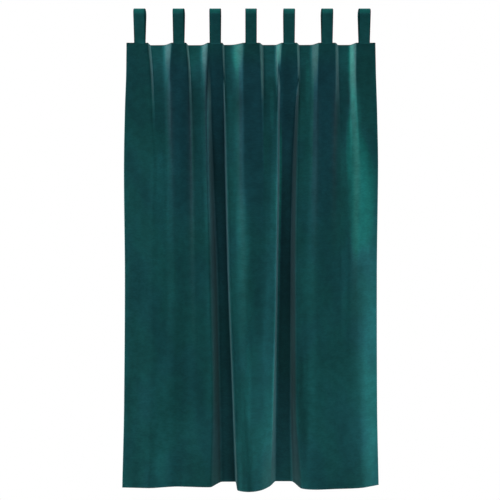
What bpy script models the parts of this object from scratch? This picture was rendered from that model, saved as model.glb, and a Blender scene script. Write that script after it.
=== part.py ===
"""Tab-top velvet curtain: one hanging panel and the loops that carry it.

Metres, +Z up.  The front faces -Y.  The origin is on the axis of the rod that
passes through the loops, over the middle of the panel's heading.
"""

import math

import bmesh
import bpy
import numpy as np

COLLECTION = "velvet_tab_top_curtain"

# Panel
PANEL_THICKNESS = 0.0024
PANEL_DROP = 2.0922         # heading's top edge to the hem
HEADING_Z = -0.1343         # heading's top edge
COLUMN_PITCH = 0.021        # widest column of the panel's grid, along the cloth
LEAST_COLUMNS = 2           # columns of a strip between two fold lines, at least
ROW_COUNT = 16
ROW_CROWDING = 1.35         # over 1 crowds the rows towards the heading

# Loops
TAB_THICKNESS = 0.0016
TAB_RADIUS = 0.023          # rod's axis to the middle of the strip
TAB_WIDTH = 0.0536
TAB_FOOT_SPREAD = 0.0011    # half the distance between a loop's two feet
TAB_CENTRES = (-0.522, -0.339, -0.1675, 0.0005, 0.179, 0.357, 0.532)
TAB_CLEARANCE = 0.0005      # foot to the heading's top edge
ARC_STEPS = 12
LEG_STEPS = 3

# The folds change down the curtain: drop below the heading of each level of the table
LEVELS = (0.0, 0.14, 0.32, 0.60, 1.10, 1.70, PANEL_DROP)

# The lines along which the hanging cloth turns, from its left edge to its right edge, in
# millimetres: half width of the turn above and below, then the place across the curtain
# and the depth behind the loops at each level.  A brow ends a flat that a loop holds, a
# foot ends the wall behind it, a curve starts the rise to the next crest.
FOLD_LINES = (
    ("left_edge",    (0, 0), (-585, -587, -593, -598, -593, -597, -606), (0, 1, 1, 3, 1, 2, 4)),
    ("brow_1",       (4, 30), (-484, -471, -464, -460, -460, -469, -478), (0, 0, -1, -2, -3, -2, -4)),
    ("foot_1",       (5, 30), (-479, -464, -453, -441, -437, -446, -455), (34, 15, 3, -1, -1, 0, -2)),
    ("curve_1",      (20, 30), (-406, -405, -405, -405, -400, -400, -405), (33, 11, 5, 5, 3, 5, 8)),
    ("crest_1",      (5, 30), (-374, -381, -377, -368, -357, -353, -354), (0, 1, 2, 2, 0, 8, 16)),
    ("brow_2",       (5, 25), (-304, -293, -289, -286, -280, -268, -269), (0, 1, 4, 5, 5, 8, 10)),
    ("foot_2",       (6, 25), (-300, -287, -278, -269, -261, -250, -245), (34, 20, 10, 9, 8, 8, 8)),
    ("curve_2",      (16, 25), (-229, -229, -231, -226, -212, -202, -207), (34, 15, 10, 10, 8, 9, 6)),
    ("crest_2",      (6, 14), (-204, -206, -206, -200, -189, -178, -187), (0, 4, 8, 7, 6, 9, 8)),
    ("valley_3_in",  (6, 14), (-188, -191, -191, -184, -166, -153, -145), (0, 10, 38, 61, 70, 72, 74)),
    ("valley_3_out", (3, 3), (-134, -130, -126, -121, -109, -86, -72), (0, 10, 38, 61, 72, 74, 74)),
    ("rim_left",     (3, 3), (-129, -125, -121, -115, -103, -79, -63), (30, 17, 11, 10, 4, -14, -31)),
    ("curve_3",      (28, 16), (-83, -76, -73, -73, -68, -46, -41), (30, 14, 8, 8, 2, -15, -44)),
    ("crest_3",      (8, 25), (-35, -37, -34, -33, -18, -23, -11), (0, 0, -1, -1, -6, -17, -50)),
    ("brow_4",       (5, 25), (42, 47, 50, 52, 33, 0, 19), (0, 0, -2, -2, -6, -13, -45)),
    ("foot_4",       (7, 20), (55, 59, 61, 66, 66, 52, 51), (31, 19, 1, -1, -3, 0, -28)),
    ("curve_4",      (10, 12), (121, 114, 104, 94, 92, 78, 73), (30, 15, 3, 1, 3, 9, -4)),
    ("rim_right",    (3, 5), (133, 128, 126, 125, 119, 105, 93), (14, 10, 6, 6, 9, 18, 24)),
    ("valley_5_in",  (4, 6), (144, 139, 135, 134, 127, 118, 117), (0, 10, 42, 62, 72, 78, 81)),
    ("valley_5_out", (3, 14), (217, 221, 213, 203, 195, 194, 203), (0, 10, 42, 62, 76, 80, 80)),
    ("foot_5",       (4, 14), (228, 228, 223, 214, 208, 210, 233), (31, 20, 11, 10, 10, 8, -8)),
    ("curve_5",      (15, 25), (292, 286, 281, 274, 260, 254, 266), (30, 17, 8, 10, 8, 3, -20)),
    ("crest_5",      (5, 25), (318, 315, 313, 311, 308, 308, 308), (0, 1, 2, 4, 2, -4, -23)),
    ("brow_6",       (5, 30), (399, 400, 395, 389, 389, 390, 388), (0, 1, 3, 5, 4, -3, -15)),
    ("foot_6",       (5, 30), (412, 413, 419, 425, 420, 414, 412), (31, 21, 13, 10, 6, -2, -13)),
    ("curve_6",      (12, 30), (474, 470, 466, 463, 461, 466, 478), (31, 24, 17, 13, 0, 0, -8)),
    ("crest_6",      (4, 25), (494, 494, 501, 514, 504, 514, 527), (0, 1, 3, 8, 6, 6, 0)),
    ("right_edge",   (0, 0), (585, 588, 594, 600, 599, 601, 608), (0, 1, 3, 10, 32, 36, 36)),
)
SOFTENING_DROPS = (0.30, 1.20)   # the turns widen between these drops
FINE_STEP = 0.0005          # step across the curtain when its section is worked out

VELVET_COLOUR = (0.010, 0.062, 0.066, 1.0)
LOOP_COLOUR = (0.012, 0.072, 0.074, 1.0)


def clear_scene():
    for item in list(bpy.data.objects):
        bpy.data.objects.remove(item, do_unlink=True)


def velvet(name, colour):
    material = bpy.data.materials.new(name)
    material.use_nodes = True
    shader = material.node_tree.nodes["Principled BSDF"]
    shader.inputs["Base Color"].default_value = colour
    shader.inputs["Roughness"].default_value = 0.85
    shader.inputs["Metallic"].default_value = 0.0
    return material


def along_levels(values, drop):
    """Smooth curve through one value for each level, with no overshoot."""
    rates = [(values[k + 1] - values[k]) / (LEVELS[k + 1] - LEVELS[k])
             for k in range(len(LEVELS) - 1)]

    def slope(level):
        before, after = rates[max(level - 1, 0)], rates[min(level, len(rates) - 1)]
        if before * after <= 0.0:
            return 0.0
        return 2 * before * after / (before + after)

    span = max(k for k in range(len(rates)) if k == 0 or drop >= LEVELS[k])
    length = LEVELS[span + 1] - LEVELS[span]
    u = (drop - LEVELS[span]) / length
    return (values[span] * (1 + 2 * u) * (1 - u) ** 2
            + slope(span) * length * u * (1 - u) ** 2
            + values[span + 1] * u * u * (3 - 2 * u)
            - slope(span + 1) * length * u * u * (1 - u))


def smooth(x, low, high):
    u = np.clip((x - low) / (high - low), 0.0, 1.0)
    return u * u * (3 - 2 * u)


def fold_lines(drop):
    """Place across, depth and half turn of every fold line, at one drop below the heading."""
    lower = smooth(drop, *SOFTENING_DROPS)
    x = 0.001 * np.array([along_levels(across, drop) for _name, _turn, across, _depth in FOLD_LINES])
    y = 0.001 * np.array([along_levels(depth, drop) for _name, _turn, _across, depth in FOLD_LINES])
    turn = 0.001 * np.array([top + (low - top) * lower for _name, (top, low), _across, _depth in FOLD_LINES])
    room = np.minimum(1.0, np.diff(x) / (turn[:-1] + turn[1:]))
    turn[1:-1] *= np.minimum(room[:-1], room[1:])
    return x, y, turn


def section(drop):
    """Fold lines' places, and x and depth of the cloth at fine steps across the curtain."""
    x, y, turn = fold_lines(drop)
    fine = np.linspace(x[0], x[-1], round((x[-1] - x[0]) / FINE_STEP) + 1)
    slopes = np.diff(y) / np.diff(x)
    slope = np.full(len(fine), slopes[0])
    for k in range(1, len(slopes)):
        slope += (slopes[k] - slopes[k - 1]) * smooth(fine, x[k] - turn[k], x[k] + turn[k])
    rises = np.diff(fine) * 0.5 * (slope[1:] + slope[:-1])
    return x, fine, y[0] + np.concatenate(([0.0], np.cumsum(rises)))


def column_places():
    """Strip between two fold lines, and share of its width, for every column of the grid."""
    reach = np.zeros(len(FOLD_LINES) - 1)
    for level in LEVELS:
        x, y, _turn = fold_lines(level)
        reach = np.maximum(reach, np.hypot(np.diff(x), np.diff(y)))
    places = [(0, 0.0)]
    for strip, length in enumerate(reach):
        count = max(LEAST_COLUMNS, math.ceil(length / COLUMN_PITCH))
        places += [(strip, k / count) for k in range(1, count + 1)]
    return places


def cloth_object(name, points, thickness, colour, collection):
    """Grid of points (rows of equal length) made a closed cloth with Solidify."""
    rows, columns = len(points), len(points[0])
    sheet = bmesh.new()
    bmesh.ops.create_grid(sheet, x_segments=columns - 1, y_segments=rows - 1, size=0.5)
    sheet.verts.ensure_lookup_table()
    for vertex in sheet.verts:
        column = round((vertex.co.x + 0.5) * (columns - 1))
        row = round((vertex.co.y + 0.5) * (rows - 1))
        vertex.co = points[row][column]
    mesh = bpy.data.meshes.new(name)
    sheet.to_mesh(mesh)
    sheet.free()
    mesh.shade_smooth()
    item = bpy.data.objects.new(name, mesh)
    item.data.materials.append(velvet(name + "_velvet", colour))
    solidify = item.modifiers.new("thickness", "SOLIDIFY")
    solidify.thickness = thickness
    solidify.offset = 0.0
    solidify.use_even_offset = False
    collection.objects.link(item)
    return item


def panel(collection):
    strips, shares = np.array(column_places()).T
    strips = strips.astype(int)
    points = []
    for row in range(ROW_COUNT, -1, -1):
        drop = PANEL_DROP * (row / ROW_COUNT) ** ROW_CROWDING
        lines, fine, depth = section(drop)
        across = lines[strips] + shares * (lines[strips + 1] - lines[strips])
        points.append([(x, y, HEADING_Z - drop) for x, y in zip(across, np.interp(across, fine, depth))])
    return cloth_object("curtain_panel", points, PANEL_THICKNESS, VELVET_COLOUR, collection)


def tab_path():
    """Side profile (y, z) of a loop, front foot to back foot."""
    foot_z = HEADING_Z + TAB_CLEARANCE
    reach = math.hypot(TAB_FOOT_SPREAD, foot_z)
    lean = math.asin(TAB_RADIUS / reach) - math.atan2(TAB_FOOT_SPREAD, -foot_z)
    tangent = (-TAB_RADIUS * math.cos(lean), -TAB_RADIUS * math.sin(lean))
    front = []
    for k in range(LEG_STEPS):
        u = k / LEG_STEPS
        front.append((-TAB_FOOT_SPREAD + u * (tangent[0] + TAB_FOOT_SPREAD),
                      foot_z + u * (tangent[1] - foot_z)))
    start, sweep = math.pi + lean, math.pi + 2 * lean
    arc = []
    for k in range(ARC_STEPS + 1):
        turn = start - sweep * k / ARC_STEPS
        arc.append((TAB_RADIUS * math.cos(turn), TAB_RADIUS * math.sin(turn)))
    back = [(-y, z) for y, z in reversed(front)]
    return front + arc + back


def tab(number, centre_x, collection):
    """Loop round the rod's axis, with its feet over the panel's top edge."""
    across = (centre_x - 0.5 * TAB_WIDTH, centre_x, centre_x + 0.5 * TAB_WIDTH)
    points = [[(x, y, z) for x in across] for y, z in tab_path()]
    return cloth_object(f"tab_{number}", points, TAB_THICKNESS, LOOP_COLOUR, collection)


def build():
    clear_scene()
    collection = bpy.data.collections.new(COLLECTION)
    bpy.context.scene.collection.children.link(collection)
    panel(collection)
    for number, centre_x in enumerate(TAB_CENTRES, start=1):
        tab(number, centre_x, collection)


build()
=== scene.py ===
import math

import bpy
import numpy as np
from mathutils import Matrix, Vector, noise

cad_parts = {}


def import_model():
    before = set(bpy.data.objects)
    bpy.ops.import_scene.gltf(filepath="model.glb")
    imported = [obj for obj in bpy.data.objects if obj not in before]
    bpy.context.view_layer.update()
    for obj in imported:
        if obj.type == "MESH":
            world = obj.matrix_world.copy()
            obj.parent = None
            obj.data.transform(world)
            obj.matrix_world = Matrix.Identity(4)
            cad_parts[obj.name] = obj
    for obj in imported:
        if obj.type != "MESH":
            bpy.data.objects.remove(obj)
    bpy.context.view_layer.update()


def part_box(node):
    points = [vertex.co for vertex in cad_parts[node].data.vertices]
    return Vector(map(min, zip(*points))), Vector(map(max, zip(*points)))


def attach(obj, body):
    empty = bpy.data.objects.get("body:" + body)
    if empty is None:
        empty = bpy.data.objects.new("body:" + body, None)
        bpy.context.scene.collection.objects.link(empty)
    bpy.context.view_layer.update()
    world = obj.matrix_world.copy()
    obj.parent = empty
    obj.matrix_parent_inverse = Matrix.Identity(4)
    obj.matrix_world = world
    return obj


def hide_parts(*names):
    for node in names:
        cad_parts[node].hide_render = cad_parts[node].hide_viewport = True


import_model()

# ------------------------------------------------------------------ places from the frame
PANEL_LOW, PANEL_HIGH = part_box("curtain_panel")
SOLID_LEAN = 0.0002         # the leaning solid rises this much over the cloth's own line
HEADING_Z = PANEL_HIGH.z - SOLID_LEAN
PANEL_DROP = HEADING_Z - PANEL_LOW.z

# ------------------------------------------------------------------ shape of the panel
MM = 0.001
PANEL_THICKNESS = 0.0024
CLOTH_WIDTH = 1.400         # width of the flat cloth before it is gathered into its folds
# drops below the heading at which the places of the fold lines are given
LEVELS = (0.0, 0.14, 0.32, 0.60, 1.10, 1.70, 2.0922)
FOLD_LINES = (
    # in millimetres: name, half width of the turn above and below, place across and
    # depth at each of the levels
    ("left_edge",    (0, 0), (-585, -587, -593, -598, -593, -597, -606), (0, 1, 1, 3, 1, 2, 4)),
    ("brow_1",       (4, 30), (-484, -471, -464, -460, -460, -469, -478), (0, 0, -1, -2, -3, -2, -4)),
    ("foot_1",       (5, 30), (-479, -464, -453, -441, -437, -446, -455), (34, 15, 3, -1, -1, 0, -2)),
    ("curve_1",      (20, 30), (-406, -405, -405, -405, -400, -400, -405), (33, 11, 5, 5, 3, 5, 8)),
    ("crest_1",      (5, 30), (-374, -381, -377, -368, -357, -353, -354), (0, 1, 2, 2, 0, 8, 16)),
    ("brow_2",       (5, 25), (-304, -293, -289, -286, -280, -268, -269), (0, 1, 4, 5, 5, 8, 10)),
    ("foot_2",       (6, 25), (-300, -287, -278, -269, -261, -250, -245), (34, 20, 10, 9, 8, 8, 8)),
    ("curve_2",      (16, 25), (-229, -229, -231, -226, -212, -202, -207), (34, 15, 10, 10, 8, 9, 6)),
    ("crest_2",      (6, 14), (-204, -206, -206, -200, -189, -178, -187), (0, 4, 8, 7, 6, 9, 8)),
    ("valley_3_in",  (6, 14), (-188, -191, -191, -184, -166, -153, -145), (0, 10, 38, 61, 70, 72, 74)),
    ("valley_3_out", (3, 3), (-134, -130, -126, -121, -109, -86, -72), (0, 10, 38, 61, 72, 74, 74)),
    ("rim_left",     (3, 3), (-129, -125, -121, -115, -103, -79, -63), (30, 17, 11, 10, 4, -14, -31)),
    ("curve_3",      (28, 16), (-83, -76, -73, -73, -68, -46, -41), (30, 14, 8, 8, 2, -15, -44)),
    ("crest_3",      (8, 25), (-35, -37, -34, -33, -18, -23, -11), (0, 0, -1, -1, -6, -17, -50)),
    ("brow_4",       (5, 25), (42, 47, 50, 52, 33, 0, 19), (0, 0, -2, -2, -6, -13, -45)),
    ("foot_4",       (7, 20), (55, 59, 61, 66, 66, 52, 51), (31, 19, 1, -1, -3, 0, -28)),
    ("curve_4",      (10, 12), (121, 114, 104, 94, 92, 78, 73), (30, 15, 3, 1, 3, 9, -4)),
    ("rim_right",    (3, 5), (133, 128, 126, 125, 119, 105, 93), (14, 10, 6, 6, 9, 18, 24)),
    ("valley_5_in",  (4, 6), (144, 139, 135, 134, 127, 118, 117), (0, 10, 42, 62, 72, 78, 81)),
    ("valley_5_out", (3, 14), (217, 221, 213, 203, 195, 194, 203), (0, 10, 42, 62, 76, 80, 80)),
    ("foot_5",       (4, 14), (228, 228, 223, 214, 208, 210, 233), (31, 20, 11, 10, 10, 8, -8)),
    ("curve_5",      (15, 25), (292, 286, 281, 274, 260, 254, 266), (30, 17, 8, 10, 8, 3, -20)),
    ("crest_5",      (5, 25), (318, 315, 313, 311, 308, 308, 308), (0, 1, 2, 4, 2, -4, -23)),
    ("brow_6",       (5, 30), (399, 400, 395, 389, 389, 390, 388), (0, 1, 3, 5, 4, -3, -15)),
    ("foot_6",       (5, 30), (412, 413, 419, 425, 420, 414, 412), (31, 21, 13, 10, 6, -2, -13)),
    ("curve_6",      (12, 30), (474, 470, 466, 463, 461, 466, 478), (31, 24, 17, 13, 0, 0, -8)),
    ("crest_6",      (4, 25), (494, 494, 501, 514, 504, 514, 527), (0, 1, 3, 8, 6, 6, 0)),
    ("right_edge",   (0, 0), (585, 588, 594, 600, 599, 601, 608), (0, 1, 3, 10, 32, 36, 36)),
)
NAMES = [name for name, *_places in FOLD_LINES]
SOFTENING_DROPS = (0.30, 1.20)      # the turns widen between these drops
LIPS = ("rim_left", "rim_right", "foot_5")  # small ridges where a wall changes its side
LIP_DROP = 0.20
LIP_REACHES = (0.048, 0.16)         # from that drop: as high up to the first, gone at the second
LIP_HEIGHT = 0.0026
LIP_WIDTH = 0.0035
RELIEF_WAVES = (
    # small unevenness of the cloth: length across, length down, height, seed
    (0.060, 0.55, 0.0006, 3.1),
    (0.026, 0.30, 0.00022, 11.7),
    (0.045, 0.07, 0.00016, 23.9),
)
RELIEF_FADE = 0.03          # it fades over this distance from the edges
SIDE_HEM = 0.025
BOTTOM_HEM = 0.080
TOP_HEM = 0.080
HEM_STEP = 0.0010           # extra thickness of a turned hem, on the back
HEM_FADE = 0.0015
EDGE_ROUND = 0.0022         # the cloth is rounded over this distance from its edges
FINE_STEP = 0.0005          # step across when a section is worked out
COLUMN_PITCH = 0.0055       # mean width of the columns between two fold lines, at most
LEAST_COLUMNS = 5           # columns between two fold lines, at least
ROW_PITCH = 0.0165
EDGE_STEPS = (0.0, 0.0003, 0.0012, 0.003)      # distances of the first rows from an edge
EDGE_CLEARANCE = 0.0045     # the even rows keep this far from the edges
HEM_CLEARANCE = 0.003       # and this far from the rows at the hems
SHADED_EDGE_DROP = 0.12          # painted dark shade along the edges down to this drop

# ------------------------------------------------------------------ painted light and shade on the velvet
PAINTED_PATCHES = (
    # painted light (above 1) or painted shade: place across and drop of the middle, half sizes,
    # lightness
    (-0.550, 1.75, 0.050, 0.70, 0.84),
    (-0.425, 0.78, 0.070, 0.42, 1.22),
    (-0.420, 2.02, 0.060, 0.14, 1.22),
    (-0.381, 0.27, 0.012, 0.15, 1.30),
    (-0.335, 1.55, 0.055, 0.60, 0.80),
    (-0.295, 0.42, 0.055, 0.42, 0.80),
    (-0.260, 2.02, 0.070, 0.14, 0.85),
    (-0.235, 1.50, 0.050, 0.35, 0.82),
    (-0.155, 0.45, 0.050, 0.50, 0.66),
    (-0.062, 0.29, 0.035, 0.14, 0.76),
    (-0.061, 0.06, 0.032, 0.12, 1.35),
    (-0.045, 2.00, 0.035, 0.16, 0.68),
    (-0.035, 0.92, 0.045, 0.30, 1.25),
    (-0.012, 1.62, 0.022, 0.28, 1.30),
    (0.035, 1.30, 0.030, 0.22, 0.84),
    (0.060, 2.02, 0.060, 0.14, 0.85),
    (0.099, 0.31, 0.014, 0.14, 1.40),
    (0.110, 0.80, 0.030, 0.32, 1.22),
    (0.134, 0.05, 0.016, 0.09, 1.40),
    (0.178, 0.25, 0.045, 0.22, 0.72),
    (0.155, 1.25, 0.050, 0.90, 0.66),
    (0.222, 1.56, 0.035, 0.28, 0.72),
    (0.240, 1.90, 0.035, 0.32, 0.70),
    (0.252, 1.62, 0.032, 0.42, 0.80),
    (0.268, 0.20, 0.016, 0.16, 1.35),
    (0.476, 0.12, 0.024, 0.20, 1.55),
    (0.462, 0.48, 0.020, 0.22, 1.60),
    (0.490, 0.36, 0.036, 0.22, 1.65),
    (0.490, 0.92, 0.030, 0.18, 1.40),
    (0.515, 0.62, 0.050, 0.26, 1.40),
    (0.525, 0.72, 0.085, 0.36, 1.90),
    (0.575, 1.55, 0.065, 0.85, 1.35),
)
PATCH_CORE = 0.35           # share of its half sizes over which a patch is at its full
PAINTED_SHADE_LINES = (
    # painted shade along a fold line: reach, lightness at each of the levels
    ("brow_1", 0.009, (0.68, 0.66, 0.86, 1.00, 1.00, 1.00, 1.00)),
    ("brow_2", 0.007, (0.54, 0.54, 0.78, 1.00, 1.00, 1.00, 1.00)),
    ("valley_3_in", 0.012, (1.00, 0.80, 0.60, 0.60, 0.60, 0.60, 0.80)),
    ("rim_left", 0.009, (0.45, 0.56, 0.50, 0.40, 0.37, 0.37, 0.40)),
    ("brow_4", 0.006, (0.80, 0.80, 0.90, 1.00, 1.00, 1.00, 1.00)),
    ("foot_4", 0.008, (0.45, 0.45, 0.75, 1.00, 1.00, 1.00, 1.00)),
    ("rim_right", 0.006, (1.00, 1.00, 0.85, 0.85, 0.95, 1.00, 0.90)),
    ("valley_5_out", 0.009, (1.00, 1.00, 0.60, 0.50, 0.50, 0.55, 0.90)),
    ("foot_5", 0.008, (1.00, 1.00, 0.80, 0.70, 0.68, 0.75, 1.00)),
    ("foot_6", 0.008, (0.66, 0.66, 0.75, 1.00, 1.00, 1.00, 1.00)),
)
PAINTED_WALLS = (
    # painted light or painted shade from one fold line to another: how far each is shifted, lightness
    ("brow_2", "foot_2", (-0.006, -0.004), (1.00, 1.00, 1.10, 1.16, 1.08, 1.00, 1.00)),
    ("crest_2", "crest_2", (-0.009, -0.003), (1.00, 1.00, 1.35, 1.50, 1.00, 1.00, 1.00)),
    ("crest_2", "valley_3_in", (-0.006, 0.000), (1.00, 0.55, 0.70, 0.50, 0.36, 0.36, 0.50)),
    ("rim_right", "valley_5_in", (0.000, 0.000), (1.00, 1.00, 0.85, 0.62, 0.68, 0.90, 1.00)),
    ("valley_5_in", "valley_5_in", (0.003, 0.013), (1.00, 1.00, 1.40, 2.90, 2.60, 1.50, 1.10)),
    ("valley_5_out", "foot_5", (0.000, 0.006), (0.45, 0.60, 0.35, 0.38, 0.36, 0.34, 0.45)),
    ("brow_6", "foot_6", (0.000, -0.002), (0.55, 0.50, 0.50, 0.80, 1.00, 1.00, 1.00)),
)
WALL_SOFTNESS = 0.006       # half the width of such a wall's soft edges
PAINTED_SHEEN_LINES = (
    # painted sheen, a greyer tone, along a fold line: its shift, reach, share at each of the levels
    ("crest_1", -0.004, 0.014, (0.00, 0.30, 0.62, 0.20, 0.00, 0.00, 0.00)),
    ("brow_2", 0.004, 0.013, (0.00, 0.00, 0.66, 0.64, 0.20, 0.00, 0.00)),
    ("crest_2", -0.006, 0.010, (0.00, 0.60, 0.50, 0.28, 0.00, 0.00, 0.00)),
    ("crest_3", -0.016, 0.014, (0.00, 0.20, 0.40, 0.36, 0.15, 0.00, 0.00)),
    ("crest_5", -0.009, 0.016, (0.00, 0.00, 0.42, 0.38, 0.05, 0.00, 0.00)),
    ("brow_6", 0.003, 0.012, (0.00, 0.20, 0.74, 0.40, 0.00, 0.00, 0.00)),
    ("crest_6", -0.016, 0.016, (0.00, 0.25, 0.66, 0.60, 0.15, 0.00, 0.00)),
)
PAINTED_LEVELS = (1.0, 1.0, 1.03, 1.12, 1.05, 1.02, 0.78)     # painted light and shade: lightness at each of the levels
GAP_LIGHTNESS = 0.45        # painted light: between the loops the cloth is this much lighter at the heading
GAP_DEPTH = 0.033           # where it lies this far back, and less where it lies less far
GAP_DROPS = (0.04, 0.23)    # and no longer so from the second of these drops
COOL_FLATS = (-0.40, 0.42)  # the flats below the inner loops look bluer, between these places
COOL_DROPS = (0.00, 0.14, 0.35, 1.10)       # more so between the first two, less after the others
COOL_FADE = 0.03            # soft edge at those places
COOL_SLOPE = (0.25, 0.70)   # a flat leans less than this to the side
DEEP_COOL_DROPS = (0.80, 1.60)      # the painted shade in the deep folds is bluer too, but between these drops
DEEP_COOL_LOSS = 0.7        # they lose this share of it
OPEN_DROPS = (0.02, 0.25)   # near the heading light reaches the folds from above
LEAST_DISTANCE = 1e-6       # added to the distance between two points, so it is never 0
TURNED = (0.15, 0.65)       # painted sheen: greyer from the first to the second share of the side in the facing
TURNED_DROPS = (0.10, 0.42)         # less so between these drops
TURNED_LOW = 0.35           # and this much of it from the second
GENTLE_DROPS = (0.90, 1.60)         # between these drops a gentle slope stops being greyer
GENTLE_LOSS = 0.25          # as this much is taken from its share of the side

# ------------------------------------------------------------------ loops
TAB_COUNT = 7
TAB_WIDTH = 0.0536
TAB_THICKNESS = 0.0030
TAB_FOOT_THICKNESS = 0.0016         # where a leg runs into the heading's seam
TAB_THIN_HEIGHT = 0.12      # share of the loop's height over which it thins to that
TAB_RADIUS = 0.0232         # rod's axis to the middle of the strip
TAB_TUCK = 0.007            # how far a leg reaches below the heading's edge, into the seam
TAB_FOOT_SPREAD = 0.0002    # half the distance between a loop's two feet
TAB_LEG_STEPS = 23
TAB_BEND_STEPS = 40
TAB_STEPS = (0.0, 0.0003, 0.0012, 0.003, 0.007, 0.013, 0.019, 0.028)   # columns, edge to middle
TAB_EDGE = 0.0025           # painted dark shade over this distance from the edges
TAB_LIGHT = (0.78, 0.87, 0.9)       # painted light where it bends over: share of its height, by how much
TAB_UV_STEP = 2.0           # each loop takes its nap from another place

# ------------------------------------------------------------------ looks
VELVET, GROUND, SHADED_EDGE = 0, 1, 2    # material slots of the cloth
VELVET_COLOUR = (0.0082, 0.0725, 0.0745)
VELVET_FINISH = (0.85, 0.02)        # roughness, specular level
COOL_TINT = (1.06, 0.80, 1.02)      # the tints multiply the colour: bluer places
GREEN_TINT = (0.72, 1.04, 0.95)     # greener where much painted light lies
PAINTED_SHEEN_TINT = (2.8, 0.96, 0.92)     # painted sheen: greyer where it turns to the side
PAINTED_SHADE_TINT = (1.22, 0.97, 0.99)      # tint of the painted shade in the deep folds
FOLD_SHADE = (0.10, 0.62, 0.42, 1.0)        # painted shade in the folds: openness from and to, lightness at each
HUE_NOISE = (7.0, 2.0, (1.0, 0.5))  # scale, detail, stretch across and down
HUE_SHARE = (0.40, 0.62, 0.0, 0.4)  # noise from and to, share of the cool tint at each
GREEN_SHARE = (1.2, 1.9, 0.0, 1.0)  # painted lightness from and to, share of the green tint at each
PAINTED_SHADE_TINT_SHARE = (0.25, 0.75, 1.0, 0.0)         # openness from and to, share of the painted shade's tint at each
NAP_MARKS = (
    # scale, detail, stretch, change of lightness
    (9.0, 3.0, (1.0, 0.5), 0.09),
    (34.0, 2.0, (0.8, 0.9), 0.07),
    (110.0, 3.0, (0.6, 1.2), 0.07),
)
NOISE_RANGE = (0.35, 0.65)  # a mark turns from dark to light between these values of the noise
SHEEN_WEIGHT = 0.15
SHEEN_ROUGHNESS = 0.35
SHEEN_TINT = (0.45, 0.95, 1.0)
CREASE_NOISE = (60.0, 3.0, (1.0, 0.5))
CREASE_BUMP = (0.10, 0.0015)        # strength, distance
TUFT_NOISE = (900.0, 2.0, (1.0, 1.0))
TUFT_BUMP = (0.15, 0.0004)
GROUND_COLOUR = (0.010, 0.060, 0.062)
GROUND_FINISH = (0.9, 0.2)
GROUND_SHADE = 0.8          # its darker threads
GROUND_NOISE = (700.0, 1.0, (1.0, 3.0))
GROUND_BUMP = (0.3, 0.0003)
SHADED_EDGE_COLOUR = (0.0008, 0.0080, 0.0080)    # painted shade along an edge, dark
SHADED_EDGE_FINISH = (0.95, 0.0)

# ------------------------------------------------------------------ camera, floor and lights
VIEW_SCALE = 0.0047         # metres for each picture unit at the curtain's plane
PICTURE_SIDE = 500          # picture units
CAMERA_LENS = 43.0          # lens and sensor in millimetres
CAMERA_SENSOR = 36.0
CAMERA_DISTANCE = VIEW_SCALE * PICTURE_SIDE * CAMERA_LENS / CAMERA_SENSOR
CAMERA_X = -0.0044
CAMERA_BELOW_HEADING = 0.9743
FLOOR_DROP = 0.32           # from the hem to the floor
FLOOR_Y = -0.75
FLOOR_SIZE = (4.0, 2.4)
FLOOR_COLOUR = (0.80, 0.80, 0.79)
FLOOR_FINISH = (0.8, 0.5)
AMBIENT = 0.09              # light of the white world on the curtain, which the camera sees as 1
LIGHTS = (
    # name, place, size, power, the point it faces, whether it casts shadows
    ("left_soft", (-4.0, -0.20, -1.0), (0.8, 3.0), 495.0, (0.0, 0.0, -1.1), False),
    ("right_soft", (4.0, -0.20, -1.0), (0.8, 3.0), 330.0, (0.0, 0.0, -1.1), False),
    ("back_soft", (-1.5, 3.8, -0.5), (2.0, 3.0), 85.0, (0.0, 0.0, -1.1), True),
    ("top_soft", (0.0, -0.25, 1.6), (2.4, 0.6), 30.0, (0.0, -0.02, 0.0), True),
)


# ------------------------------------------------------------------ shape of the folds
def smooth(x, low, high):
    """0 up to low, 1 from high, and a soft step between them."""
    u = np.clip((x - low) / (high - low), 0.0, 1.0)
    return u * u * (3 - 2 * u)


def along_levels(values, drop):
    """Smooth curve through one value for each level, with no overshoot."""
    rates = [(values[k + 1] - values[k]) / (LEVELS[k + 1] - LEVELS[k])
             for k in range(len(LEVELS) - 1)]

    def slope(level):
        before, after = rates[max(level - 1, 0)], rates[min(level, len(rates) - 1)]
        if before * after <= 0.0:
            return 0.0
        return 2 * before * after / (before + after)

    span = max(k for k in range(len(rates)) if k == 0 or drop >= LEVELS[k])
    length = LEVELS[span + 1] - LEVELS[span]
    u = min(1.0, (drop - LEVELS[span]) / length)
    return (values[span] * (1 + 2 * u) * (1 - u) ** 2
            + slope(span) * length * u * (1 - u) ** 2
            + values[span + 1] * u * u * (3 - 2 * u)
            - slope(span + 1) * length * u * u * (1 - u))


def fold_lines(drop):
    """Place across, depth and turn of every fold line, at one drop below the heading."""
    x = MM * np.array([along_levels(across, drop) for _name, _turn, across, _depth in FOLD_LINES])
    y = MM * np.array([along_levels(depth, drop) for _name, _turn, _across, depth in FOLD_LINES])
    lower = smooth(drop, *SOFTENING_DROPS)
    turn = MM * np.array([top + (low - top) * lower for _name, (top, low), *_places in FOLD_LINES])
    room = np.minimum(1.0, np.diff(x) / (turn[:-1] + turn[1:]))
    turn[1:-1] *= np.minimum(room[:-1], room[1:])
    return x, y, turn


def profile(drop):
    """Section of the cloth: its fold lines, and y at fine steps of x."""
    x, y, turn = fold_lines(drop)
    fine = np.linspace(x[0], x[-1], round((x[-1] - x[0]) / FINE_STEP) + 1)
    slopes = np.diff(y) / np.diff(x)
    slope = np.full(len(fine), slopes[0])
    for k in range(1, len(slopes)):
        slope += (slopes[k] - slopes[k - 1]) * smooth(fine, x[k] - turn[k], x[k] + turn[k])
    steps = np.diff(fine) * 0.5 * (slope[1:] + slope[:-1])
    depth = y[0] + np.concatenate(([0.0], np.cumsum(steps)))
    strength = 1 - smooth(abs(drop - LIP_DROP), *LIP_REACHES)
    for name in LIPS:
        line = x[NAMES.index(name)]
        depth -= LIP_HEIGHT * strength * np.exp(-((fine - line) / LIP_WIDTH) ** 2)
    return x, fine, depth


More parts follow.
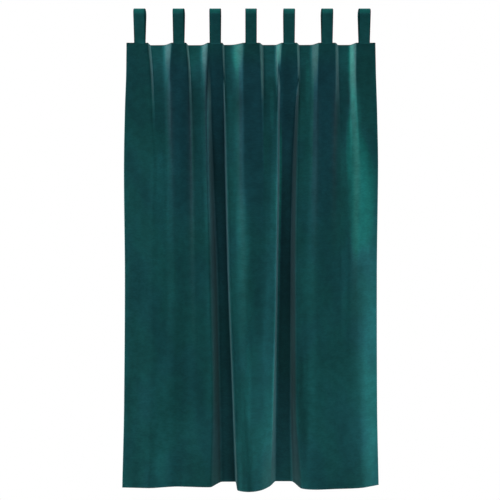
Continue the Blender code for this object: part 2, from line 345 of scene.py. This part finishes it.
def column_places():
    """Strip between two fold lines, and share of its width, for every column of the cloth.

    The columns stand closer at the fold lines than between them.
    """
    reach = np.zeros(len(FOLD_LINES) - 1)
    for level in LEVELS:
        x, y, _turn = fold_lines(level)
        reach = np.maximum(reach, np.hypot(np.diff(x), np.diff(y)))
    places = [(0, 0.0)]
    for strip, length in enumerate(reach):
        count = max(LEAST_COLUMNS, math.ceil(length / COLUMN_PITCH))
        places += [(strip, 0.5 - 0.5 * math.cos(math.pi * k / count)) for k in range(1, count + 1)]
    return places


def row_drops():
    """Drop of every row: even steps, with a few rows close to both edges and at the hems."""
    count = math.ceil(PANEL_DROP / ROW_PITCH)
    even = [PANEL_DROP * k / count for k in range(1, count + 1)]
    hems = [TOP_HEM, TOP_HEM + HEM_FADE, PANEL_DROP - BOTTOM_HEM - HEM_FADE, PANEL_DROP - BOTTOM_HEM]
    clear = [p for p in even if all(abs(p - h) > HEM_CLEARANCE for h in hems)]
    inner = [p for p in sorted(clear + hems) if EDGE_CLEARANCE < p < PANEL_DROP - EDGE_CLEARANCE]
    return np.array(list(EDGE_STEPS) + inner + [PANEL_DROP - p for p in reversed(EDGE_STEPS)])


def hanging_cloth(drops):
    """Middle of the cloth's thickness, and the places of its fold lines, for every row."""
    places = column_places()
    strips = np.array([strip for strip, _share in places])
    shares = np.array([share for _strip, share in places])
    rows, lines = [], []
    for drop in drops:
        x, fine, depth = profile(drop)
        across = x[strips] + shares * (x[strips + 1] - x[strips])
        height = np.full(len(across), HEADING_Z - drop)
        rows.append(np.stack((across, np.interp(across, fine, depth), height), axis=-1))
        lines.append(x)
    return np.array(rows), np.array(lines)


def relief(stations, drops):
    """Small unevenness of the hanging cloth, in metres towards the front."""
    bumps = np.zeros((len(drops), len(stations)))
    for across, down, height, seed in RELIEF_WAVES:
        for r, drop in enumerate(drops):
            for c, station in enumerate(stations):
                bumps[r, c] += height * noise.noise(Vector((station / across, drop / down, seed)))
    return bumps


# ------------------------------------------------------------------ how the pile looks
def openness(middle):
    """Share of the light in front that reaches each point of the cloth past its own folds."""
    seen = np.ones(middle.shape[:2])
    for r, row in enumerate(middle):
        x, y = row[:, 0], row[:, 1]
        aside = x[None, :] - x[:, None]
        ahead = y[:, None] - y[None, :]
        rise = np.arctan2(np.maximum(ahead, 0.0), np.abs(aside) + LEAST_DISTANCE)
        left = np.where(aside < 0, rise, 0.0).max(axis=1)
        right = np.where(aside > 0, rise, 0.0).max(axis=1)
        seen[r] = np.cos(left) * np.cos(right)
    return seen


def at_drops(values, drops):
    """The values given at the levels, for each row of the cloth."""
    return np.array([along_levels(values, drop) for drop in drops])[:, None]


def line_places(lines, name):
    """Place across of one fold line, for each row of the cloth."""
    return lines[:, NAMES.index(name)][:, None]


def sideways(middle):
    """Share of the side in the facing of each point: 0 to the front, 1 to the left or right."""
    across = np.gradient(middle, axis=1)
    return np.abs(across[:, :, 1]) / np.hypot(across[:, :, 0], across[:, :, 1])


def painted_sheen_share(middle, lines, drops):
    """How far painted sheen makes the velvet greyer: where it turns to the side, and along the crests.
    """
    down = drops[:, None]
    steep = smooth(sideways(middle) - GENTLE_LOSS * smooth(down, *GENTLE_DROPS), *TURNED)
    grey = steep * (1 - (1 - TURNED_LOW) * smooth(down, *TURNED_DROPS))
    for name, shift, reach, shares in PAINTED_SHEEN_LINES:
        far = (middle[:, :, 0] - line_places(lines, name) - shift) / reach
        grey = np.maximum(grey, at_drops(shares, drops) * np.exp(-far * far))
    return grey


def painted_light_and_shade(middle, lines, drops):
    """Lightness of the painted light and shade on the velvet, 1 where there is none."""
    across = middle[:, :, 0]
    down = drops[:, None]
    lightness = np.ones_like(across)
    for middle_x, middle_drop, half_width, half_height, change in PAINTED_PATCHES:
        far = np.hypot((across - middle_x) / half_width, (down - middle_drop) / half_height)
        lightness *= 1 + (change - 1) * (1 - smooth(far, PATCH_CORE, 1.0))
    for name, reach, shades in PAINTED_SHADE_LINES:
        far = (across - line_places(lines, name)) / reach
        lightness *= 1 + (at_drops(shades, drops) - 1) * np.exp(-far * far)
    for first, last, (first_shift, last_shift), shades in PAINTED_WALLS:
        from_start = across - line_places(lines, first) - first_shift
        from_end = across - line_places(lines, last) - last_shift
        inside = smooth(from_start, -WALL_SOFTNESS, WALL_SOFTNESS)
        inside *= 1 - smooth(from_end, -WALL_SOFTNESS, WALL_SOFTNESS)
        lightness *= 1 + (at_drops(shades, drops) - 1) * inside
    # painted light between the loops near the heading
    in_gap = np.clip(middle[0, :, 1] / GAP_DEPTH, 0.0, 1.0) * (1 - smooth(down, *GAP_DROPS))
    return at_drops(PAINTED_LEVELS, drops) * lightness * (1 + GAP_LIGHTNESS * in_gap)


def cool_share(middle, seen, drops):
    """How far the velvet looks bluer: on the flats below the inner loops, and as painted shade in the
    folds.
    """
    left, right = COOL_FLATS
    across = middle[0, :, 0]
    down = drops[:, None]
    inside = smooth(across, left, left + COOL_FADE) * (1 - smooth(across, right - COOL_FADE, right))
    flat = (middle[0, :, 1] < 0.5 * GAP_DEPTH) * (1 - smooth(sideways(middle), *COOL_SLOPE))
    on_flats = flat * inside * smooth(down, *COOL_DROPS[:2]) * (1 - smooth(down, *COOL_DROPS[2:]))
    # painted shade in the folds, bluer
    in_folds = (1 - seen) * (1 - DEEP_COOL_LOSS * smooth(down, *DEEP_COOL_DROPS))
    return np.maximum(on_flats, in_folds)


# ------------------------------------------------------------------ pieces of cloth
def cell_mean(values):
    """Mean of the four corners of each cell of a grid."""
    return 0.25 * (values[1:, 1:] + values[:-1, 1:] + values[1:, :-1] + values[:-1, :-1])


def cell_corners(grid, on_front):
    """Corners of each cell of a grid, in the order that turns its face outwards."""
    a, b = grid[:-1, :-1], grid[:-1, 1:]
    d, c = grid[1:, :-1], grid[1:, 1:]
    return (a, d, c, b) if on_front else (a, b, c, d)


def rounding(distance, half):
    """Half thickness of the cloth at a distance from its edge."""
    u = np.clip(1 - distance / EDGE_ROUND, 0.0, 1.0)
    return half * np.sqrt(1 - u * u)


def cloth_mesh(name, middle, halves, uv, kinds, layers, materials):
    """Closed cloth around a grid of middle points: front and back grids joined at the edges.

    The halves are its thickness in front and behind, the kinds the material slots of the
    cells in front and behind, and each layer has its values in front and one value behind.
    """
    rows, columns = middle.shape[:2]
    normal = np.cross(np.gradient(middle, axis=1), -np.gradient(middle, axis=0))
    normal /= np.linalg.norm(normal, axis=2, keepdims=True)
    front = middle + normal * halves[0][..., None]
    back = middle - normal * halves[1][..., None]
    index_front = np.arange(rows * columns).reshape(rows, columns)
    index_back = index_front.copy()
    inner = np.zeros((rows, columns), bool)
    inner[1:-1, 1:-1] = True
    index_back[inner] = rows * columns + np.arange(inner.sum())
    points = np.concatenate((front.reshape(-1, 3), back[inner]))
    faces, corners = [], []
    for on_front, index in ((True, index_front), (False, index_back)):
        faces.append(np.stack(cell_corners(index, on_front), axis=-1).reshape(-1, 4))
        corners.append(np.stack(cell_corners(uv, on_front), axis=-2).reshape(-1, 2))
    slots = np.concatenate([kind.ravel() for kind in kinds])
    mesh = bpy.data.meshes.new(name)
    mesh.from_pydata(points.tolist(), [], np.concatenate(faces).tolist())
    mesh.polygons.foreach_set("material_index", slots.astype(np.int32))
    layer = mesh.uv_layers.new(name="cloth")
    layer.data.foreach_set("uv", np.concatenate(corners).astype(np.float32).ravel())
    for layer_name, (in_front, behind) in layers.items():
        values = np.concatenate((in_front.ravel(), np.full(inner.sum(), behind)))
        point_layer = mesh.attributes.new(layer_name, "FLOAT", "POINT")
        point_layer.data.foreach_set("value", values.astype(np.float32))
    mesh.shade_smooth()
    mesh.update()
    piece = bpy.data.objects.new(name, mesh)
    bpy.context.scene.collection.objects.link(piece)
    for material in materials:
        mesh.materials.append(material)
    return piece


def hem_share(stations, drops):
    """1 where the cloth is turned over on itself at its sides, hem and heading, 0 elsewhere."""
    from_side = np.minimum(stations, CLOTH_WIDTH - stations)
    in_side = 1 - smooth(from_side, SIDE_HEM, SIDE_HEM + HEM_FADE)
    in_bottom = 1 - smooth(PANEL_DROP - drops, BOTTOM_HEM, BOTTOM_HEM + HEM_FADE)
    in_top = 1 - smooth(drops, TOP_HEM, TOP_HEM + HEM_FADE)
    return np.maximum.outer(np.maximum(in_bottom, in_top), in_side)


def panel(materials):
    """The hanging panel, from its heading to its hem."""
    drops = row_drops()
    middle, lines = hanging_cloth(drops)
    widths = np.linalg.norm(np.diff(middle[:, :, :2], axis=1), axis=2).mean(axis=0)
    stations = CLOTH_WIDTH * np.concatenate(([0.0], np.cumsum(widths))) / widths.sum()
    far = np.minimum.outer(np.minimum(drops, PANEL_DROP - drops),
                           np.minimum(stations, CLOTH_WIDTH - stations))
    in_hem = hem_share(stations, drops)
    half = rounding(far, 0.5 * PANEL_THICKNESS)
    rise = relief(stations, drops) * smooth(far, 0.0, RELIEF_FADE)
    back = half - rise + HEM_STEP * in_hem * smooth(far, 0.0, EDGE_ROUND)
    uv = np.stack((np.broadcast_to(stations, far.shape),
                   np.broadcast_to(-drops[:, None], far.shape)), axis=-1)
    cell_drop = 0.5 * (drops[1:] + drops[:-1])[:, None]
    # painted dark shade along the edges, a material of its own
    on_shaded_edge = (cell_mean(far) < EDGE_STEPS[-1]) & (cell_drop < SHADED_EDGE_DROP)
    turned_back = np.where(cell_mean(in_hem) < 0.5, GROUND, VELVET)
    kinds = (np.where(on_shaded_edge, SHADED_EDGE, VELVET), np.where(on_shaded_edge, SHADED_EDGE, turned_back))
    # painted shade: the share of light reaching each point darkens the colour in the folds
    seen = 1 - (1 - openness(middle)) * smooth(drops, *OPEN_DROPS)[:, None]
    layers = {
        "openness": (seen, 1.0),
        # painted light and shade, as lightness of the velvet's colour
        "painted_shading": (painted_light_and_shade(middle, lines, drops), 1.0),
        "cool": (cool_share(middle, seen, drops), 0.0),
        # painted sheen, as a greyer tone of the velvet's colour
        "turned": (painted_sheen_share(middle, lines, drops), 0.0),
    }
    return cloth_mesh("velvet_panel", middle, (half + rise, back), uv, kinds, layers, materials)


def tab_centres():
    """Place of each loop across the curtain, read from the solids that it replaces."""
    centres = []
    for number in range(1, TAB_COUNT + 1):
        low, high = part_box(f"tab_{number}")
        centres.append(0.5 * (low.x + high.x))
    return centres


def tab_path():
    """Side profile of a loop, as y and z, from the back foot over the rod to the front foot."""
    foot_z = HEADING_Z - TAB_TUCK
    reach = math.hypot(TAB_FOOT_SPREAD, foot_z)
    lean = math.asin(TAB_RADIUS / reach) - math.atan2(TAB_FOOT_SPREAD, -foot_z)
    tangent = (-TAB_RADIUS * math.cos(lean), -TAB_RADIUS * math.sin(lean))
    rise = (tangent[0] + TAB_FOOT_SPREAD, tangent[1] - foot_z)
    front = [(-TAB_FOOT_SPREAD + u * rise[0], foot_z + u * rise[1])
             for u in np.linspace(0.0, 1.0, TAB_LEG_STEPS + 1)[:-1]]
    start, sweep = math.pi + lean, math.pi + 2 * lean
    arc = [(TAB_RADIUS * math.cos(start - sweep * u), TAB_RADIUS * math.sin(start - sweep * u))
           for u in np.linspace(0.0, 1.0, TAB_BEND_STEPS + 1)]
    back = [(-y, z) for y, z in reversed(front)]
    return np.array(front + arc + back)[::-1]


def tab(number, centre, materials):
    """One loop, and the length of its strip."""
    path = tab_path()
    y, z = path[:, :1], path[:, 1:]
    height = np.clip((z - HEADING_Z) / (TAB_RADIUS - HEADING_Z), 0.0, 1.0)
    length = np.concatenate(([0.0], np.cumsum(np.hypot(*np.diff(path, axis=0).T))))
    steps = np.array(TAB_STEPS)
    share = np.concatenate((steps, 2 * steps[-1] - steps[-2::-1])) / (2 * steps[-1])
    grid = (len(path), len(share))
    across = np.broadcast_to(centre + (share - 0.5) * TAB_WIDTH, grid)
    middle = np.stack((across, np.broadcast_to(y, grid), np.broadcast_to(z, grid)), axis=-1)
    side_far = np.broadcast_to(np.minimum(share, 1 - share) * TAB_WIDTH, grid)
    far = np.minimum(side_far, np.minimum(length, length[-1] - length)[:, None])
    thinning = 1 - smooth(height, 0.0, TAB_THIN_HEIGHT)
    half = rounding(far, 0.5 * (TAB_THICKNESS + (TAB_FOOT_THICKNESS - TAB_THICKNESS) * thinning))
    uv = np.stack((np.broadcast_to(share * TAB_WIDTH, grid) + TAB_UV_STEP * number,
                   np.broadcast_to(length[:, None] - length[-1], grid)), axis=-1)
    # painted dark shade along the loop's sides
    kind = np.where(cell_mean(side_far) < TAB_EDGE, SHADED_EDGE, VELVET)
    # painted light over the bend at the top of the loop
    bend_start, bend_full, bend_light = TAB_LIGHT
    painted_shading = np.broadcast_to(1 + bend_light * smooth(height, bend_start, bend_full), grid)
    layers = {
        "openness": (np.ones(grid), 1.0),
        "painted_shading": (painted_shading, 1.0),
        "cool": (np.zeros(grid), 0.0),
        "turned": (np.zeros(grid), 0.0),
    }
    name = f"velvet_loop_{number}"
    piece = cloth_mesh(name, middle, (half, half), uv, (kind, kind), layers, materials)
    return piece, float(length[-1])


# ------------------------------------------------------------------ materials
def shader_material(name, roughness, specular):
    """New material, with its node tree and shader."""
    material = bpy.data.materials.new(name)
    material.use_nodes = True
    tree = material.node_tree
    shader = tree.nodes["Principled BSDF"]
    shader.inputs["Roughness"].default_value = roughness
    shader.inputs["Specular IOR Level"].default_value = specular
    return material, tree, shader


def cloth_place(tree):
    """Place on the flat cloth, in metres."""
    node = tree.nodes.new("ShaderNodeUVMap")
    node.uv_map = "cloth"
    return node.outputs["UV"]


def attribute(tree, name):
    """One of the values kept on the cloth's points."""
    node = tree.nodes.new("ShaderNodeAttribute")
    node.attribute_name = name
    return node.outputs["Fac"]


def noise_value(tree, place, scale, detail, stretch):
    """Noise over the cloth, stretched across and down."""
    mapping = tree.nodes.new("ShaderNodeMapping")
    mapping.inputs["Scale"].default_value = (*stretch, 1.0)
    tree.links.new(place, mapping.inputs["Vector"])
    texture = tree.nodes.new("ShaderNodeTexNoise")
    texture.inputs["Scale"].default_value = scale
    texture.inputs["Detail"].default_value = detail
    tree.links.new(mapping.outputs["Vector"], texture.inputs["Vector"])
    return texture.outputs["Fac"]


def ramp(tree, value, low, high, to_low, to_high):
    """Soft step of a value from low to high, and what it gives at each."""
    node = tree.nodes.new("ShaderNodeMapRange")
    node.interpolation_type = "SMOOTHSTEP"
    limits = {"From Min": low, "From Max": high, "To Min": to_low, "To Max": to_high}
    for socket, limit in limits.items():
        node.inputs[socket].default_value = limit
    tree.links.new(value, node.inputs["Value"])
    return node.outputs["Result"]


def times(tree, a, b):
    """One value times another."""
    node = tree.nodes.new("ShaderNodeMath")
    node.operation = "MULTIPLY"
    tree.links.new(a, node.inputs[0])
    tree.links.new(b, node.inputs[1])
    return node.outputs["Value"]


def mixed(tree, factor, first, second):
    """First colour at a factor of 0, second at 1. Each is a plain colour or a socket."""
    node = tree.nodes.new("ShaderNodeMix")
    node.data_type = "RGBA"
    tree.links.new(factor, node.inputs["Factor"])
    for socket, colour in ((node.inputs[6], first), (node.inputs[7], second)):
        if isinstance(colour, tuple):
            socket.default_value = (*colour, 1.0)
        else:
            tree.links.new(colour, socket)
    return node.outputs[2]


def scaled(tree, colour, share):
    """Colour times a value, which may be above one."""
    node = tree.nodes.new("ShaderNodeVectorMath")
    node.operation = "SCALE"
    tree.links.new(colour, node.inputs[0])
    tree.links.new(share, node.inputs["Scale"])
    return node.outputs["Vector"]


def tinted(tree, colour, tint):
    """Colour times a plain colour."""
    node = tree.nodes.new("ShaderNodeVectorMath")
    node.operation = "MULTIPLY"
    tree.links.new(colour, node.inputs[0])
    node.inputs[1].default_value = tint
    return node.outputs["Vector"]


def bump(tree, height, strength, distance):
    """Bump node over a height."""
    node = tree.nodes.new("ShaderNodeBump")
    node.inputs["Strength"].default_value = strength
    node.inputs["Distance"].default_value = distance
    tree.links.new(height, node.inputs["Height"])
    return node


def velvet(name):
    """Pile velvet: nap marks of several sizes, painted light and shade, painted shade in deep folds,
    and painted sheen, greyer, where it turns away.
    """
    material, tree, shader = shader_material(name, *VELVET_FINISH)
    place = cloth_place(tree)
    seen = attribute(tree, "openness")
    painted_shading = attribute(tree, "painted_shading")
    # painted shade in the folds, times the painted light and shade
    share = times(tree, ramp(tree, seen, *FOLD_SHADE), painted_shading)
    for scale, detail, stretch, change in NAP_MARKS:
        marks = noise_value(tree, place, scale, detail, stretch)
        share = times(tree, share, ramp(tree, marks, *NOISE_RANGE, 1 - change, 1 + change))
    cool = tuple(c * f for c, f in zip(VELVET_COLOUR, COOL_TINT))
    green = tuple(c * f for c, f in zip(VELVET_COLOUR, GREEN_TINT))
    hue = ramp(tree, noise_value(tree, place, *HUE_NOISE), *HUE_SHARE)
    colour = mixed(tree, hue, VELVET_COLOUR, cool)
    # bluer on the flats, and bluer painted shade in the folds
    colour = mixed(tree, attribute(tree, "cool"), colour, cool)
    # greener where much painted light lies
    colour = mixed(tree, ramp(tree, painted_shading, *GREEN_SHARE), colour, green)
    # painted sheen: greyer where the cloth turns to the side and along the crests
    turned = tinted(tree, colour, PAINTED_SHEEN_TINT)
    colour = mixed(tree, attribute(tree, "turned"), colour, turned)
    # tint of the painted shade in the deep folds
    deep = tinted(tree, colour, PAINTED_SHADE_TINT)
    colour = mixed(tree, ramp(tree, seen, *PAINTED_SHADE_TINT_SHARE), colour, deep)
    tree.links.new(scaled(tree, colour, share), shader.inputs["Base Color"])
    shader.inputs["Sheen Weight"].default_value = SHEEN_WEIGHT
    shader.inputs["Sheen Roughness"].default_value = SHEEN_ROUGHNESS
    shader.inputs["Sheen Tint"].default_value = (*SHEEN_TINT, 1.0)
    creases = bump(tree, noise_value(tree, place, *CREASE_NOISE), *CREASE_BUMP)
    tufts = bump(tree, noise_value(tree, place, *TUFT_NOISE), *TUFT_BUMP)
    tree.links.new(creases.outputs["Normal"], tufts.inputs["Normal"])
    tree.links.new(tufts.outputs["Normal"], shader.inputs["Normal"])
    return material


def woven_ground(name):
    """Back of the velvet: its woven ground, matt."""
    material, tree, shader = shader_material(name, *GROUND_FINISH)
    weave = noise_value(tree, cloth_place(tree), *GROUND_NOISE)
    darker = tuple(GROUND_SHADE * c for c in GROUND_COLOUR)
    colour = mixed(tree, ramp(tree, weave, *NOISE_RANGE, 0.0, 1.0), darker, GROUND_COLOUR)
    tree.links.new(colour, shader.inputs["Base Color"])
    tree.links.new(bump(tree, weave, *GROUND_BUMP).outputs["Normal"], shader.inputs["Normal"])
    return material


def plain(name, colour, finish):
    """Material of one colour, for the painted dark shade along the edges and the floor."""
    material, _tree, shader = shader_material(name, *finish)
    shader.inputs["Base Color"].default_value = (*colour, 1.0)
    return material


# ------------------------------------------------------------------ studio
def camera():
    """Camera in front of the curtain, level, at the height the picture is seen from."""
    data = bpy.data.cameras.new("camera")
    data.lens = CAMERA_LENS
    data.sensor_width = CAMERA_SENSOR
    item = bpy.data.objects.new("camera", data)
    item.location = (CAMERA_X, -CAMERA_DISTANCE, HEADING_Z - CAMERA_BELOW_HEADING)
    item.rotation_euler = (0.5 * math.pi, 0.0, 0.0)
    bpy.context.scene.collection.objects.link(item)
    bpy.context.scene.camera = item


def area_light(name, place, size, power, target, shadow):
    """Soft rectangular light that faces its target."""
    data = bpy.data.lights.new(name, "AREA")
    data.shape = "RECTANGLE"
    data.size, data.size_y = size
    data.energy = power
    data.use_shadow = shadow
    item = bpy.data.objects.new(name, data)
    item.location = place
    item.rotation_euler = (Vector(target) - Vector(place)).to_track_quat("-Z", "Y").to_euler()
    bpy.context.scene.collection.objects.link(item)


def world():
    """Plain white behind the curtain, and a weaker white light from all round."""
    made = bpy.data.worlds.new("studio")
    bpy.context.scene.world = made
    made.use_nodes = True
    tree = made.node_tree
    background = tree.nodes["Background"]
    background.inputs["Color"].default_value = (1.0, 1.0, 1.0, 1.0)
    seen = tree.nodes.new("ShaderNodeLightPath")
    strength = tree.nodes.new("ShaderNodeMapRange")
    strength.inputs["To Min"].default_value = AMBIENT
    strength.inputs["To Max"].default_value = 1.0
    tree.links.new(seen.outputs["Is Camera Ray"], strength.inputs["Value"])
    tree.links.new(strength.outputs["Result"], background.inputs["Strength"])


def floor():
    """Pale floor below the hem."""
    place = (0.0, FLOOR_Y, PANEL_LOW.z - FLOOR_DROP)
    bpy.ops.mesh.primitive_plane_add(size=1.0, location=place)
    item = bpy.context.object
    item.name = "floor"
    item.scale = (*FLOOR_SIZE, 1.0)
    item.data.materials.append(plain("pale_floor", FLOOR_COLOUR, FLOOR_FINISH))


# ------------------------------------------------------------------ the curtain and its studio
cloth_materials = [
    velvet("teal_velvet"),
    woven_ground("velvet_ground"),
    # painted dark shade along the edges
    plain("velvet_painted_edge_shade", SHADED_EDGE_COLOUR, SHADED_EDGE_FINISH),
]

curtain = panel(cloth_materials)
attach(curtain, "root")
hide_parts("curtain_panel")

for number, centre in enumerate(tab_centres(), start=1):
    loop, loop_length = tab(number, centre, cloth_materials)
    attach(loop, "root")
    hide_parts(f"tab_{number}")

camera()
world()
floor()
for light in LIGHTS:
    area_light(*light)
bpy.context.scene.view_settings.view_transform = "Standard"
